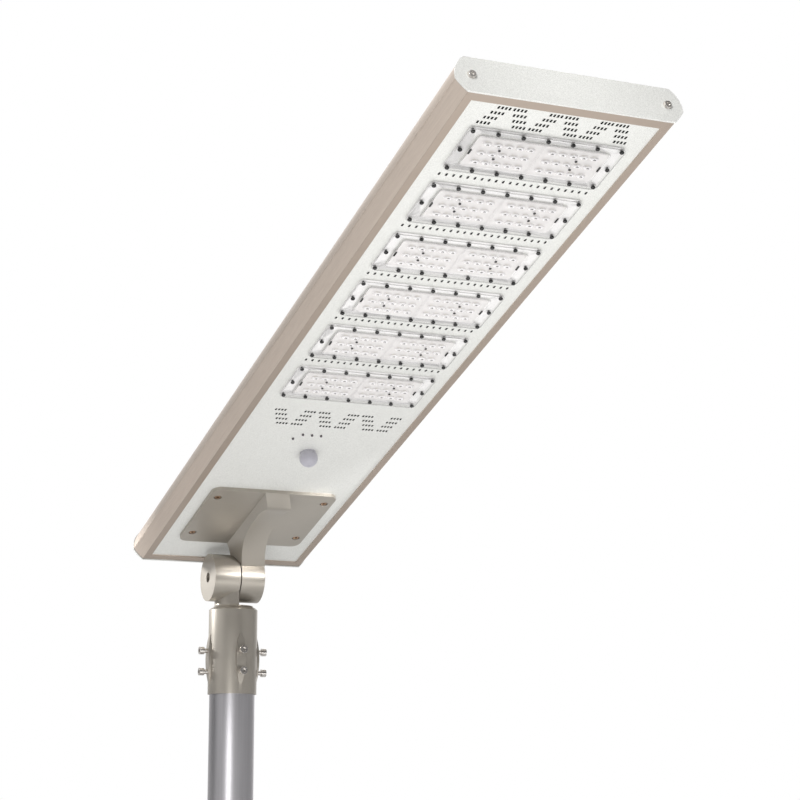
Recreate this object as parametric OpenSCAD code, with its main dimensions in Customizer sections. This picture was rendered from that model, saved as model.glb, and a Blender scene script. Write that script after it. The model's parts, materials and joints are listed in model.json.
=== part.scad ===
// All-in-one solar street lamp on the top section of its pole.
// Millimetres. Z is up along the pole, and the lamp head reaches out along -Y.
// The origin is the centre of the pole section's lower end.

/* [Pole] */
// Outside diameter of the pole
pole_d = 76; // [70:1:76]
// Wall thickness of the pole
pole_wall = 3; // [2.5:0.5:4]
// Length of pole that shows below the sleeve
pole_run = 300; // [200:10:600]
// Length of pole inside the sleeve
pole_insert = 114; // [90:1:115]

/* [Sleeve] */
// Outside diameter of the sleeve
sleeve_d = 82; // [82:0.5:84]
// Height of the sleeve
sleeve_h = 144; // [142:1:160]
// Depth of the upper row of set screws below the sleeve's top
upper_row = 72; // [66:1:74]
// Depth of the lower row of set screws below the sleeve's top
lower_row = 107; // [100:1:112]
// Width of the raised pad under each column of set screws
pad_w = 17; // [14:1:20]
// Diameter of the column between the sleeve and the knuckle
neck_d = 64; // [58:1:68]

/* [Tilt joint] */
// Tilt of the lamp head above the horizontal
head_tilt = 18; // [10:1:25]
// Height of the tilt axis above the sleeve's top
hub_rise = 51; // [50:1:56]
// Diameter of the two knuckles
hub_d = 80; // [76:1:82]
// Width of the left knuckle
left_knuckle_w = 46; // [40:1:48]
// Width of the right knuckle
knuckle_w = 42; // [40:1:44]
// Diameter of the pivot bolt
bolt_d = 10; // [8:1:12]

/* [Lamp head] */
// Width of the lamp head over its rails
head_w = 312; // [306:1:316]
// Width of the flat underside between the rail corners
under_w = 284; // [282:1:286]
// Thickness of the lamp head
head_t = 49.5; // [48:0.5:51]
// Length of the side rails
rail_l = 1344; // [1340:1:1360]
// Overhang of the rails behind the tilt axis
rear_reach = 48; // [44:1:52]
// Distance from the tilt axis to the underside
plate_drop = 52; // [52:0.5:54]
// Width of the lip that frames the underside
lip_w = 11; // [9:1:12]

/* [LED modules] */
// Number of LED modules
module_count = 6; // [6]
// Spacing of the LED modules along the head
module_pitch = 120; // [116:1:121]
// Distance from the tilt axis to the first module's centre
module_start = 588; // [584:1:592]
// Width of a module across the head
module_w = 221; // [216:1:224]
// Length of a module along the head
module_l = 92; // [88:1:94]

/* [Energy store] */
// Diameter of a battery cell
cell_d = 32.2; // [32:0.1:32.4]
// Length of a battery cell
cell_l = 70.5; // [70:0.5:71]

/* [Hidden] */
$fn = 96;

// Gaps: a running fit on a shaft, a plain gap between parts, and a gap between bodies
run_gap = 0.05;
part_gap = 0.1;
body_gap = 0.3;
eps = 0.01;

// Heights along the pole
pole_r = pole_d / 2;
sleeve_z = pole_run;
sleeve_top = sleeve_z + sleeve_h;
hub_z = sleeve_top + hub_rise;
hub_r = hub_d / 2;
sleeve_r = sleeve_d / 2;
sleeve_bore_r = pole_r + 0.08;
rim_chamfer = 3;

// Set screws: M8 socket heads in two rows of four
set_shank_r = 4;
set_head_r = 6.5;
set_head_h = 8;
set_head_out = 51;
set_socket = 4;
pad_out = 45;
pad_half_h = 49;
pad_mid = (upper_row + lower_row) / 2 - 3.5;

// Neck between sleeve and knuckle
neck_r = neck_d / 2;
neck_flare = 7;

// Tilt joint along X: the left knuckle belongs to the sleeve, the right one to the arm
disc_t = 1.7;
left_face = -1;
right_face = left_face + disc_t + body_gap;
bolt_r = bolt_d / 2;
bolt_head_r = bolt_r + 3;
bolt_head_h = bolt_d;
bolt_seat = -24;
bolt_socket = 5;
nut_seat = 28;
nut_recess_r = 12.5;
washer_t = 2;
nut_h = 8;
nut_r = 9.8;

// Lamp head stations: s runs outward from the tilt axis, n runs up from the underside
s_rear = -rear_reach;
s_front = rail_l - rear_reach;
rail_wall = 2;
ridge_n = 17;
lower_arc_r = 86;
upper_arc_r = 36;
rail_corner = [under_w / 2, 0];
rail_ridge = [head_w / 2, ridge_n];
rail_shoulder = [under_w / 2, head_t];
lip_x = under_w / 2 - lip_w;
boss_x = 135;
boss_n = 24;
boss_r = 6;
cap_screw_r = 3;
cap_screw_l = 18;
cap_head_r = 6;
cap_head_h = 3.3;
cap_t = 3;
gasket_t = 1;
cap_grow = 0.8;
channel_reach = 14;

// Solar panel stack, from the top lip downward
seal_t = 0.4;
glass_t = 3.2;
layer_t = 0.4;
ledge_t = 2;
seal_n = head_t - rail_wall - seal_t;
glass_n = seal_n - glass_t;
solar_n = glass_n - layer_t;
back_n = solar_n - layer_t;
glass_half = lip_x + 7;
glass_s0 = s_rear + 5;
glass_s1 = s_front - 5;
cell_rows = 18;
solar_pitch_x = 130;
solar_pitch_s = 72;
solar_gap = 2;

// Bottom plate
plate_n = rail_wall;
plate_t = 2;
plate_top = plate_n + plate_t;
plate_half = lip_x + 5;
plate_s0 = s_rear + 6;
plate_s1 = s_front - 6;

// LED modules, downward from the plate
gasket_h = 1;
flange_h = 3;
flange_n = plate_n - gasket_h - flange_h;
block_w = 186;
block_l = 64;
block_h = 1.2;
skin = 2;
board_w = 178;
board_l = 59;
board_t = 1.6;
chip_w = 3;
chip_h = 0.7;
chip_dx = 15;
chip_ds = 19;
chip_half_x = 45;
corner_r = 10;
lens_screw_r = 1.7;
lens_head_r = 3;
lens_head_h = 2.6;
screw_span_x = 208;
screw_cols = 7;
screw_row_s = 39.5;
feed_x = 60;
feed_ds = 12;
feed_r = 2.2;

// Perforations of the bottom plate
vent_w = 2.9;
vent_l = 5.6;
row_vents = 22;
row_pitch = 10;
front_vent_ds = 11;
rear_vent_ds = 13.7;
vent_dx = 5;
vent_group = 4;
chevrons = 3;
chevron_rows = 4;
chevron_pitch = 71;
front_lean = [4.5, 4.5];
rear_lean = [-5.5, -2.3];
front_chevron_s = 1274;
rear_chevron_s = 497;

// Tilt arm
arm_plate_w = 214;
arm_plate_l = 195;
arm_plate_t = 5.5;
arm_plate_s = 37;
arm_plate_r = 15;
arm_plate_n = plate_n - arm_plate_t;
arm_low = 36.5;
arm_foot = 39.5;
arm_flat_s = 174;
arm_nose_s = 206;
arm_nose_n = 31;
arm_screw_x = 92;
arm_screw_s = [70.5, 203.5];
arm_screw_r = 3;
arm_head_r = 5;
arm_head_h = 3.5;
arm_recess_r = 6.5;
arm_recess = 4;
backing_t = 3;

// Battery: cells lie along the head, six across and four in line
cells_x = 6;
cells_s = 4;
tray_wall = 1.2;
tray_n = 7.6;
lid_t = 0.8;
tray_s = 460;
cell_gap_x = 0.4;
cell_gap_s = 1;
cell_rest = 0.2;
board_room = 12;
tray_in_x = cells_x * (cell_d + cell_gap_x) + 0.6;
tray_in_s = cells_s * (cell_l + cell_gap_s) + board_room + 2;
tray_in_h = cell_d + 0.5;
tray_foot_r = 5;
tray_foot_x = 80;

// Controller and sensors
case_s = 240;
case_l = 90;
case_w = 120;
case_h = 26;
case_wall = 1.5;
case_lid_t = 2;
dome_x = 3;
dome_s = 368;
dome_r = 14.5;
dome_neck_r = 12;
dome_drop = 8;
dome_flange_r = 18;
sensor_board_n = 16;
standoff_r = 3;
pcb_t = 1.6;
lamp_x = [-27, -12, 3];
lamp_s = 426;
lamp_r = 1.9;
receiver_x = -38;
receiver_s = 411;

// Junction box under the panel
jbox_s = 90;
jbox_w = 110;
jbox_l = 60;
jbox_h = 16;
jbox_wall = 2;

// Wiring
trunk_x = 113;
trunk_n = 6.8;
trunk_r = 2.5;
branch_r = 1.2;
branch_n = 6;
lead_r = 2.5;
case_port_n = 16;
tray_port_n = 22;

alu_light = [0.88, 0.88, 0.86];
alu_beige = [0.77, 0.70, 0.62];
cast = [0.72, 0.69, 0.63];
steel = [0.75, 0.75, 0.76];
board_green = [0.10, 0.35, 0.18];

// ---------- helpers ----------

function module_s(i) = module_start + (module_count - i) * module_pitch;
function mid(a, b) = (a + b) / 2;
function span(a, b) = [min(a, b), max(a, b)];

// Centre of the circle of radius r through p and q, on the left of the way from p to q
function arc_center(p, q, r) =
    let (chord = q - p, half = norm(chord) / 2, rise = sqrt(r * r - half * half))
    (p + q) / 2 + rise * [-chord[1], chord[0]] / norm(chord);

// Height of the arm's hollow underside at station s
function arm_curve(s) =
    arm_low - (arm_low - 6.5) * pow(1 - (s - arm_foot) / (arm_flat_s - arm_foot), 3);

module on_hub() {
    translate([0, 0, hub_z]) rotate([-head_tilt, 0, 0]) children();
}

module on_head() {
    on_hub() translate([0, 0, plate_drop]) children();
}

module at(x, s, n) {
    translate([x, -s, n]) children();
}

// Extrudes an (x, n) section along the head from station s0 to s1
module along_head(s0, s1) {
    at(0, s0, 0) rotate([90, 0, 0]) linear_extrude(s1 - s0) children();
}

// Extrudes an (s, n) section across the head from x0 to x1
module across_head(x0, x1) {
    translate([x1, 0, 0]) rotate([0, 0, -90]) rotate([90, 0, 0]) linear_extrude(x1 - x0) children();
}

module slab(x0, x1, s0, s1, n0, n1) {
    translate([x0, -s1, n0]) cube([x1 - x0, s1 - s0, n1 - n0]);
}

// Cylinder along X
module rod_x(x0, x1, r) {
    translate([x0, 0, 0]) rotate([0, 90, 0]) cylinder(r = r, h = x1 - x0);
}

// Cylinder along the head
module rod_s(x, n, s0, s1, r) {
    at(x, s0, n) rotate([90, 0, 0]) cylinder(r = r, h = s1 - s0);
}

// Rectangle with round corners, centred
module rounded(w, l, r) {
    square([w - 2 * r, l], center = true);
    square([w, l - 2 * r], center = true);
    for (x = [-1, 1], y = [-1, 1])
        translate([x * (w / 2 - r), y * (l / 2 - r)]) circle(r = r);
}

module hex_hole(across, depth) {
    cylinder(r = across / sqrt(3), h = depth, $fn = 6);
}

// ---------- pole ----------

module pole_section() {
    color([0.68, 0.68, 0.70])
        difference() {
            cylinder(r = pole_r, h = pole_run + pole_insert);
            translate([0, 0, -1]) cylinder(r = pole_r - pole_wall, h = pole_run + pole_insert + 2);
        }
}

// ---------- sleeve ----------

// Lens-shaped pad that carries a column of two set screws, facing +X
module screw_pad() {
    half_w = pad_w / 2;
    plan_r = (pad_half_h * pad_half_h + half_w * half_w) / (2 * half_w);
    rise = pad_out - sleeve_r + 1;
    bulge_r = (pad_half_h * pad_half_h + rise * rise) / (2 * rise);
    intersection() {
        rotate([0, 90, 0])
            linear_extrude(pad_out + 5)
                intersection() {
                    translate([0, plan_r - half_w]) circle(r = plan_r);
                    translate([0, half_w - plan_r]) circle(r = plan_r);
                }
        translate([pad_out - bulge_r, 50, 0]) rotate([90, 0, 0]) cylinder(r = bulge_r, h = 100, $fn = 192);
    }
}

module sleeve_neck() {
    rotate_extrude()
        difference() {
            square([sleeve_r - rim_chamfer, hub_rise]);
            translate([neck_r + neck_flare, neck_flare]) circle(r = neck_flare);
            translate([neck_r, neck_flare]) square([neck_flare * 2, hub_rise]);
        }
}

module pole_sleeve() {
    color(cast)
        difference() {
            union() {
                translate([0, 0, sleeve_z]) cylinder(r = sleeve_r, h = sleeve_h - rim_chamfer);
                translate([0, 0, sleeve_top - rim_chamfer])
                    cylinder(r1 = sleeve_r, r2 = sleeve_r - rim_chamfer, h = rim_chamfer);
                for (a = [0 : 90 : 270])
                    translate([0, 0, sleeve_top - pad_mid]) rotate([0, 0, a]) screw_pad();
                difference() {
                    translate([0, 0, sleeve_top - eps]) sleeve_neck();
                    translate([left_face, -hub_r, sleeve_top + 4]) cube([hub_r, hub_d, hub_rise]);
                }
                translate([0, 0, hub_z]) rod_x(-left_knuckle_w, left_face, hub_r);
            }
            translate([0, 0, sleeve_z - 1]) cylinder(r = sleeve_bore_r, h = pole_insert + 2);
            translate([0, 0, hub_z]) rod_x(-left_knuckle_w - 1, bolt_seat, bolt_head_r + 0.5);
            translate([0, 0, hub_z]) rod_x(bolt_seat - 1, 1, bolt_r + run_gap);
            translate([0, 0, hub_z]) rod_x(left_face, knuckle_w, hub_r + 1);
            for (a = [0 : 90 : 270], depth = [upper_row, lower_row])
                translate([0, 0, sleeve_top - depth]) rotate([0, 0, a])
                    rod_x(pole_r - 2, pad_out + 2, set_shank_r + 0.02);
        }
}

module set_screws() {
    color(steel)
        for (a = [0 : 90 : 270], depth = [upper_row, lower_row])
            translate([0, 0, sleeve_top - depth]) rotate([0, 0, a])
                difference() {
                    union() {
                        rod_x(pole_r + body_gap, set_head_out + 1, set_shank_r);
                        rod_x(set_head_out, set_head_out + set_head_h, set_head_r);
                    }
                    translate([set_head_out + set_head_h - set_socket, 0, 0])
                        rotate([0, 90, 0]) hex_hole(6, set_socket + 1);
                }
}

// ---------- tilt joint ----------

module pivot_bolt() {
    color(steel)
        translate([0, 0, hub_z])
            difference() {
                union() {
                    rod_x(bolt_seat - bolt_head_h, bolt_seat, bolt_head_r);
                    rod_x(bolt_seat - 1, nut_seat + 12, bolt_r);
                }
                translate([bolt_seat - bolt_head_h - 1, 0, 0])
                    rotate([0, 90, 0]) hex_hole(8, bolt_socket + 1);
            }
}

module pivot_washer() {
    color(steel)
        translate([0, 0, hub_z])
            difference() {
                rod_x(nut_seat + body_gap, nut_seat + body_gap + washer_t, nut_recess_r - 2);
                rod_x(nut_seat - 1, nut_seat + washer_t + 2, bolt_r + part_gap);
            }
}

module pivot_nut() {
    seat = nut_seat + body_gap + washer_t + eps;
    color(steel)
        translate([0, 0, hub_z])
            difference() {
                translate([seat, 0, 0]) rotate([0, 90, 0]) cylinder(r = nut_r, h = nut_h, $fn = 6);
                rod_x(nut_seat, nut_seat + 14, bolt_r + 0.02);
            }
}

module friction_disc() {
    color([0.25, 0.25, 0.26])
        translate([0, 0, hub_z])
            difference() {
                rod_x(left_face, left_face + disc_t, hub_r - 5);
                rod_x(left_face - 1, left_face + disc_t + 1, bolt_r + part_gap);
            }
}

// Side outline of the arm in (s, height above the tilt axis)
module arm_side() {
    steps = 18;
    step = (arm_flat_s - arm_foot) / steps;
    hollow = [for (k = [0 : steps]) let (s = arm_foot + k * step) [s, arm_curve(s)]];
    top = plate_drop + arm_plate_n + 1;
    end_s = arm_plate_s + arm_plate_l;
    nose = [[192, arm_low - 2], [arm_nose_s, arm_nose_n], [arm_nose_s + 7, arm_nose_n + 2],
            [end_s - 7, top - 6], [end_s, top - 1], [end_s, top]];
    back = [[arm_plate_s, top], [16, 20], [0, 0], [arm_foot - 2, 0]];
    polygon(concat(hollow, nose, back));
}

// Cross-section of the arm in (x, height): it leans from the right knuckle to the head's middle
module arm_lean() {
    top = plate_drop + arm_plate_n + 1;
    polygon([[right_face, -5], [knuckle_w, -5], [knuckle_w, 8], [21, top], [-20, top], [right_face, 8]]);
}

module tilt_arm() {
    color(cast)
        on_hub() difference() {
            union() {
                rod_x(right_face, knuckle_w, hub_r);
                intersection() {
                    across_head(-30, knuckle_w + 10) arm_side();
                    along_head(-10, arm_plate_s + arm_plate_l + 5) arm_lean();
                }
                at(0, arm_plate_s + arm_plate_l / 2, plate_drop + arm_plate_n)
                    linear_extrude(arm_plate_t) rounded(arm_plate_w, arm_plate_l, arm_plate_r);
            }
            rod_x(-left_knuckle_w - 5, right_face - eps, hub_r + 1);
            rod_x(right_face - 1, knuckle_w + 1, bolt_r + run_gap);
            rod_x(nut_seat, knuckle_w + 1, nut_recess_r);
            translate([0, 0, plate_drop]) arm_screw_places() {
                translate([0, 0, arm_plate_n - 1]) cylinder(r = arm_recess_r, h = arm_recess + 1);
                translate([0, 0, arm_plate_n]) cylinder(r = arm_screw_r + 0.2, h = arm_plate_t + 1);
            }
        }
}

module arm_screw_places() {
    for (x = [-arm_screw_x, arm_screw_x], s = arm_screw_s)
        at(x, s, 0) children();
}

module bracket_screws() {
    head_n = arm_plate_n + arm_recess - eps;
    color([0.72, 0.55, 0.42])
        on_head() arm_screw_places()
            difference() {
                union() {
                    translate([0, 0, head_n - arm_head_h]) cylinder(r = arm_head_r, h = arm_head_h);
                    translate([0, 0, head_n - 1])
                        cylinder(r = arm_screw_r, h = plate_top + backing_t + 2 - head_n);
                }
                translate([0, 0, head_n - arm_head_h - 1]) hex_hole(4, 3);
            }
}

module backing_plate() {
    color(steel)
        on_head() difference() {
            at(0, mid(arm_screw_s[0], arm_screw_s[1]), plate_top + eps)
                linear_extrude(backing_t) rounded(210, 170, 8);
            arm_screw_places() cylinder(r = arm_screw_r + 0.02, h = 20);
        }
}

// ---------- housing ----------

// Right half of the head's outer section, grown outward by grow
module head_half(grow) {
    intersection() {
        translate(arc_center(rail_corner, rail_ridge, lower_arc_r)) circle(r = lower_arc_r + grow);
        translate(arc_center(rail_ridge, rail_shoulder, upper_arc_r)) circle(r = upper_arc_r + grow);
        translate([100, -grow]) square([60 + grow, head_t + 2 * grow]);
    }
}

module head_outline(grow) {
    head_half(grow);
    mirror([1, 0]) head_half(grow);
    translate([-101, -grow]) square([202, head_t + 2 * grow]);
}

module rail_section() {
    difference() {
        union() {
            difference() {
                intersection() {
                    head_half(0);
                    translate([lip_x, -1]) square([40, head_t + 2]);
                }
                head_half(-rail_wall);
            }
            intersection() {
                head_half(-rail_wall / 2);
                union() {
                    translate([glass_half - 3, back_n - ledge_t]) square([40, ledge_t]);
                    translate([boss_x, boss_n - 1.5]) square([40, 3]);
                }
            }
            translate([boss_x, boss_n]) circle(r = boss_r);
        }
        translate([boss_x, boss_n]) circle(r = cap_screw_r + 0.02);
        translate([head_w / 2 + 0.5, ridge_n + 0.5]) circle(r = 1.1);
        translate([under_w / 2 + 6.6, head_t - 4]) circle(r = 0.7);
    }
}

// Wedge that mitres a rail's lips at one end of the head
module lip_mitre(s_end, way) {
    s_in = s_end - way * channel_reach;
    for (n = [[-1, rail_wall + part_gap], [seal_n, head_t + 1]])
        translate([0, 0, n[0]])
            linear_extrude(n[1] - n[0])
                polygon([[lip_x - 1, -s_in + way], [lip_x, -s_in], [under_w / 2, -s_end],
                         [under_w / 2, -s_end - way * 5], [lip_x - 1, -s_end - way * 5]]);
}

module rail() {
    on_head() difference() {
        along_head(s_rear, s_front) rail_section();
        lip_mitre(s_front, 1);
        lip_mitre(s_rear, -1);
    }
}

module right_rail() {
    color(alu_beige) rail();
}

module left_rail() {
    color(alu_beige) mirror([1, 0, 0]) rail();
}

// End channel: lower lip, upright wall between the rails' screw bosses, panel ledge and upper lip
module end_channel(s_end, way) {
    s_in = s_end - way * channel_reach;
    wall = span(s_end, s_end - way * rail_wall);
    shelf = span(s_end - way, s_end - way * (channel_reach - 5));
    half = lip_x - part_gap;
    wall_half = boss_x - boss_r - part_gap;
    color(alu_beige)
        on_head() {
            for (n = [0, head_t - rail_wall])
                translate([0, 0, n])
                    linear_extrude(rail_wall)
                        polygon([[-half, -s_in], [half, -s_in],
                                 [under_w / 2 - part_gap, -s_end], [-under_w / 2 + part_gap, -s_end]]);
            slab(-wall_half, wall_half, wall[0], wall[1], eps, head_t - eps);
            slab(-half, half, shelf[0], shelf[1], back_n - ledge_t, back_n);
        }
}

module front_channel() {
    end_channel(s_front, 1);
}

module rear_channel() {
    end_channel(s_rear, -1);
}

module cap_holes(r) {
    for (x = [-boss_x, boss_x])
        translate([x, boss_n]) circle(r = r);
}

module end_gasket(s0) {
    color([0.15, 0.15, 0.16])
        on_head() along_head(s0 + eps, s0 + gasket_t - eps)
            difference() {
                head_outline(-0.5);
                translate([-120, 10]) square([240, head_t - 20]);
                cap_holes(cap_screw_r + part_gap);
            }
}

module front_gasket() {
    end_gasket(s_front);
}

module rear_gasket() {
    end_gasket(s_rear - gasket_t);
}

module end_cap(s0) {
    color(alu_light)
        on_head() along_head(s0, s0 + cap_t)
            difference() {
                head_outline(cap_grow);
                cap_holes(cap_screw_r + part_gap);
            }
}

module front_cap() {
    end_cap(s_front + gasket_t);
}

module rear_cap() {
    end_cap(s_rear - gasket_t - cap_t);
}

// Button-head screw along the head, seated at station s and pointing to the rear when way is 1
module cap_screw(x, s, way) {
    at(x, s, boss_n) rotate([90 * way, 0, 0])
        difference() {
            union() {
                translate([0, 0, eps]) cylinder(r1 = cap_head_r, r2 = cap_head_r - 1.2, h = cap_head_h);
                translate([0, 0, -cap_screw_l]) cylinder(r = cap_screw_r, h = cap_screw_l + 1);
            }
            translate([0, 0, cap_head_h - 1.9]) hex_hole(4, 3);
        }
}

module cap_screws() {
    color(steel)
        on_head() for (x = [-boss_x, boss_x]) {
            cap_screw(x, s_front + gasket_t + cap_t, 1);
            cap_screw(x, s_rear - gasket_t - cap_t, -1);
        }
}

// Places of the 16 screws round a module's flange
module lens_screw_places(i) {
    for (k = [0 : screw_cols - 1], side = [-1, 1])
        at(-screw_span_x / 2 + k * screw_span_x / (screw_cols - 1), module_s(i) + side * screw_row_s, 0)
            children();
    for (side = [-1, 1])
        at(side * screw_span_x / 2, module_s(i), 0) children();
}

// One perforation, a short slot along the head
module vent() {
    square([vent_w, vent_l], center = true);
}

// Legs of perforations that make three chevrons; lean is the side shift of each leg from row to row
module chevron_vents(s0, ds, left_x, right_x, lean) {
    for (c = [0 : chevrons - 1], row = [0 : chevron_rows - 1], k = [0 : vent_group - 1]) {
        x = c * chevron_pitch + k * vent_dx;
        at(left_x + x - lean[0] * row, s0 - row * ds, 0) vent();
        at(right_x + x + lean[1] * row, s0 - row * ds, 0) vent();
    }
}

module row_vents() {
    for (i = [1 : module_count - 1], k = [0 : row_vents - 1])
        at((k - (row_vents - 1) / 2) * row_pitch, module_s(i) - module_pitch / 2, 0) vent();
}

module bottom_plate() {
    color(alu_light)
        on_head() translate([0, 0, plate_n])
            linear_extrude(plate_t)
                difference() {
                    translate([-plate_half, -plate_s1]) square([2 * plate_half, plate_s1 - plate_s0]);
                    row_vents();
                    chevron_vents(front_chevron_s, front_vent_ds, -90, -68.6, front_lean);
                    chevron_vents(rear_chevron_s, rear_vent_ds, -96.7, -49.2, rear_lean);
                    for (i = [1 : module_count]) {
                        lens_screw_places(i) circle(r = lens_screw_r + 0.02);
                        at(feed_x, module_s(i) + feed_ds, 0) circle(r = feed_r);
                    }
                    arm_screw_places() circle(r = arm_screw_r + 0.2);
                    at(dome_x, dome_s, 0) circle(r = dome_neck_r + part_gap);
                    for (x = lamp_x)
                        at(x, lamp_s, 0) circle(r = lamp_r + 0.05);
                    at(receiver_x, receiver_s, 0) circle(r = lamp_r + 0.05);
                }
}

// ---------- solar panel ----------

module solar_glass() {
    color([0.55, 0.62, 0.70, 0.5])
        on_head() slab(-glass_half, glass_half, glass_s0, glass_s1, glass_n, glass_n + glass_t);
}

module solar_cells() {
    first_s = mid(glass_s0, glass_s1) - (cell_rows - 1) / 2 * solar_pitch_s;
    half_x = (solar_pitch_x - solar_gap) / 2;
    half_s = (solar_pitch_s - solar_gap) / 2;
    color([0.05, 0.07, 0.16])
        on_head() for (c = [-0.5, 0.5], r = [0 : cell_rows - 1]) {
            x = c * solar_pitch_x;
            s = first_s + r * solar_pitch_s;
            slab(x - half_x, x + half_x, s - half_s, s + half_s, solar_n + eps, glass_n - eps);
        }
}

module solar_backsheet() {
    color([0.93, 0.93, 0.93])
        on_head() slab(-glass_half, glass_half, glass_s0, glass_s1, back_n + eps, solar_n - eps);
}

module panel_seal() {
    color([0.15, 0.15, 0.16])
        on_head() difference() {
            slab(-glass_half, glass_half, glass_s0, glass_s1, seal_n + eps, seal_n + seal_t - eps);
            slab(-lip_x - 1, lip_x + 1, s_rear + channel_reach, s_front - channel_reach,
                 seal_n - 1, seal_n + 1);
        }
}

module panel_junction_box() {
    color([0.12, 0.12, 0.13])
        on_head() difference() {
            slab(-jbox_w / 2, jbox_w / 2, jbox_s, jbox_s + jbox_l, back_n - jbox_h, back_n - eps);
            slab(-jbox_w / 2 + jbox_wall, jbox_w / 2 - jbox_wall, jbox_s + jbox_wall,
                 jbox_s + jbox_l - jbox_wall, back_n - jbox_h + jbox_wall, back_n + 1);
        }
}

// ---------- battery ----------

module battery_tray() {
    half_x = tray_in_x / 2;
    color([0.80, 0.80, 0.80])
        on_head() {
            difference() {
                slab(-half_x - tray_wall, half_x + tray_wall, tray_s, tray_s + tray_in_s + 2 * tray_wall,
                     tray_n, tray_n + tray_wall + tray_in_h);
                slab(-half_x, half_x, tray_s + tray_wall, tray_s + tray_wall + tray_in_s,
                     tray_n + tray_wall, tray_n + 60);
                rod_s(half_x - 12, tray_port_n, tray_s - 5, tray_s + 5, lead_r + 0.5);
            }
            for (x = [-tray_foot_x, tray_foot_x], s = [tray_s + 15, tray_s + tray_in_s - 13])
                at(x, s, plate_top + eps) cylinder(r = tray_foot_r, h = tray_n - plate_top);
        }
}

module battery_lid() {
    half_x = tray_in_x / 2 + tray_wall;
    lid_n = tray_n + tray_wall + tray_in_h + eps;
    color([0.80, 0.80, 0.80])
        on_head() slab(-half_x, half_x, tray_s, tray_s + tray_in_s + 2 * tray_wall, lid_n, lid_n + lid_t);
}

module battery_cells() {
    first_s = tray_s + tray_wall + board_room;
    cell_n = tray_n + tray_wall + cell_d / 2 + cell_rest;
    color([0.15, 0.35, 0.65])
        on_head() for (k = [0 : cells_x - 1], j = [0 : cells_s - 1]) {
            x = (k - (cells_x - 1) / 2) * (cell_d + cell_gap_x);
            s = first_s + j * (cell_l + cell_gap_s);
            rod_s(x, cell_n, s, s + cell_l, cell_d / 2);
        }
}

module battery_board() {
    face_s = tray_s + tray_wall + 3;
    color(board_green)
        on_head() slab(-70, 70, face_s, face_s + pcb_t, tray_n + 4, tray_n + 30);
}

// ---------- controller and sensors ----------

module controller_case() {
    color([0.20, 0.20, 0.22])
        on_head() difference() {
            slab(-case_w / 2, case_w / 2, case_s, case_s + case_l, plate_top + eps, plate_top + case_h);
            slab(-case_w / 2 + case_wall, case_w / 2 - case_wall, case_s + case_wall,
                 case_s + case_l - case_wall, plate_top + case_wall, plate_top + case_h + 1);
            rod_s(case_w / 2 - 12, case_port_n, case_s - 5, case_s + 5, lead_r + 0.5);
            rod_s(case_w / 2 - 12, case_port_n, case_s + case_l - 5, case_s + case_l + 5, lead_r + 0.5);
            rod_s(case_w / 2 - 24, case_port_n, case_s + case_l - 5, case_s + case_l + 5, lead_r + 0.5);
        }
}

module controller_lid() {
    color([0.20, 0.20, 0.22])
        on_head() slab(-case_w / 2, case_w / 2, case_s, case_s + case_l,
                       plate_top + case_h + eps, plate_top + case_h + case_lid_t);
}

// Board on four posts, with a converter block and two capacitors
module controller_board() {
    board_n = plate_top + 8;
    part_n = board_n + pcb_t - part_gap;
    color(board_green)
        on_head() {
            slab(-50, 50, case_s + 8, case_s + case_l - 8, board_n, board_n + pcb_t);
            slab(-40, -10, case_s + 20, case_s + 50, part_n, part_n + 10.5);
            for (x = [5, 25])
                at(x, case_s + 40, part_n) cylinder(r = 6, h = 13);
            for (x = [-44, 34], s = [case_s + 14, case_s + case_l - 14])
                at(x, s, plate_top + case_wall + eps)
                    cylinder(r = standoff_r, h = board_n - plate_top - case_wall);
        }
}

// Deep round cap, most of a ball, hollow, with a collar and a flange above the plate
module motion_dome() {
    wall = 1.2;
    color([0.88, 0.84, 0.88, 0.9])
        on_head() at(dome_x, dome_s, 0)
            rotate_extrude()
                intersection() {
                    translate([0, -40]) square([30, 60]);
                    difference() {
                        union() {
                            translate([0, plate_top + eps]) square([dome_flange_r, 1.5]);
                            translate([0, -dome_drop]) square([dome_neck_r, dome_drop + plate_top + 1]);
                            translate([0, -dome_drop]) circle(r = dome_r);
                        }
                        translate([0, -dome_drop]) circle(r = dome_r - wall);
                        translate([-20, -dome_drop]) square([20 + dome_neck_r - wall, 40]);
                    }
                }
}

module motion_sensor() {
    color(steel)
        on_head() at(dome_x, dome_s, 0) {
            translate([0, 0, sensor_board_n - 7]) cylinder(r = 4.6, h = 5);
            for (a = [45, 165, 285])
                rotate([0, 0, a]) translate([2.5, 0, sensor_board_n - 2.5]) cylinder(r = 0.3, h = 2.5 - eps);
        }
}

module sensor_board() {
    color(board_green)
        on_head() {
            slab(-50, 40, dome_s - 22, lamp_s + 14, sensor_board_n, sensor_board_n + pcb_t);
            for (x = [-44, 34], s = [dome_s - 16, lamp_s + 8])
                at(x, s, plate_top + eps) cylinder(r = standoff_r, h = sensor_board_n - plate_top);
        }
}

module small_lens() {
    translate([0, 0, 0.5]) cylinder(r = lamp_r, h = sensor_board_n - 1);
    translate([0, 0, 0.5]) intersection() {
        sphere(r = lamp_r);
        translate([0, 0, -5]) cylinder(r = 5, h = 5 + eps);
    }
    translate([0, 0, plate_top + eps]) cylinder(r = lamp_r + 0.8, h = 1);
}

module indicator_lenses() {
    color([0.20, 0.18, 0.18])
        on_head() for (x = lamp_x)
            at(x, lamp_s, 0) small_lens();
}

module receiver_window() {
    color([0.35, 0.32, 0.32])
        on_head() at(receiver_x, receiver_s, 0) small_lens();
}

// ---------- LED modules ----------

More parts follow.
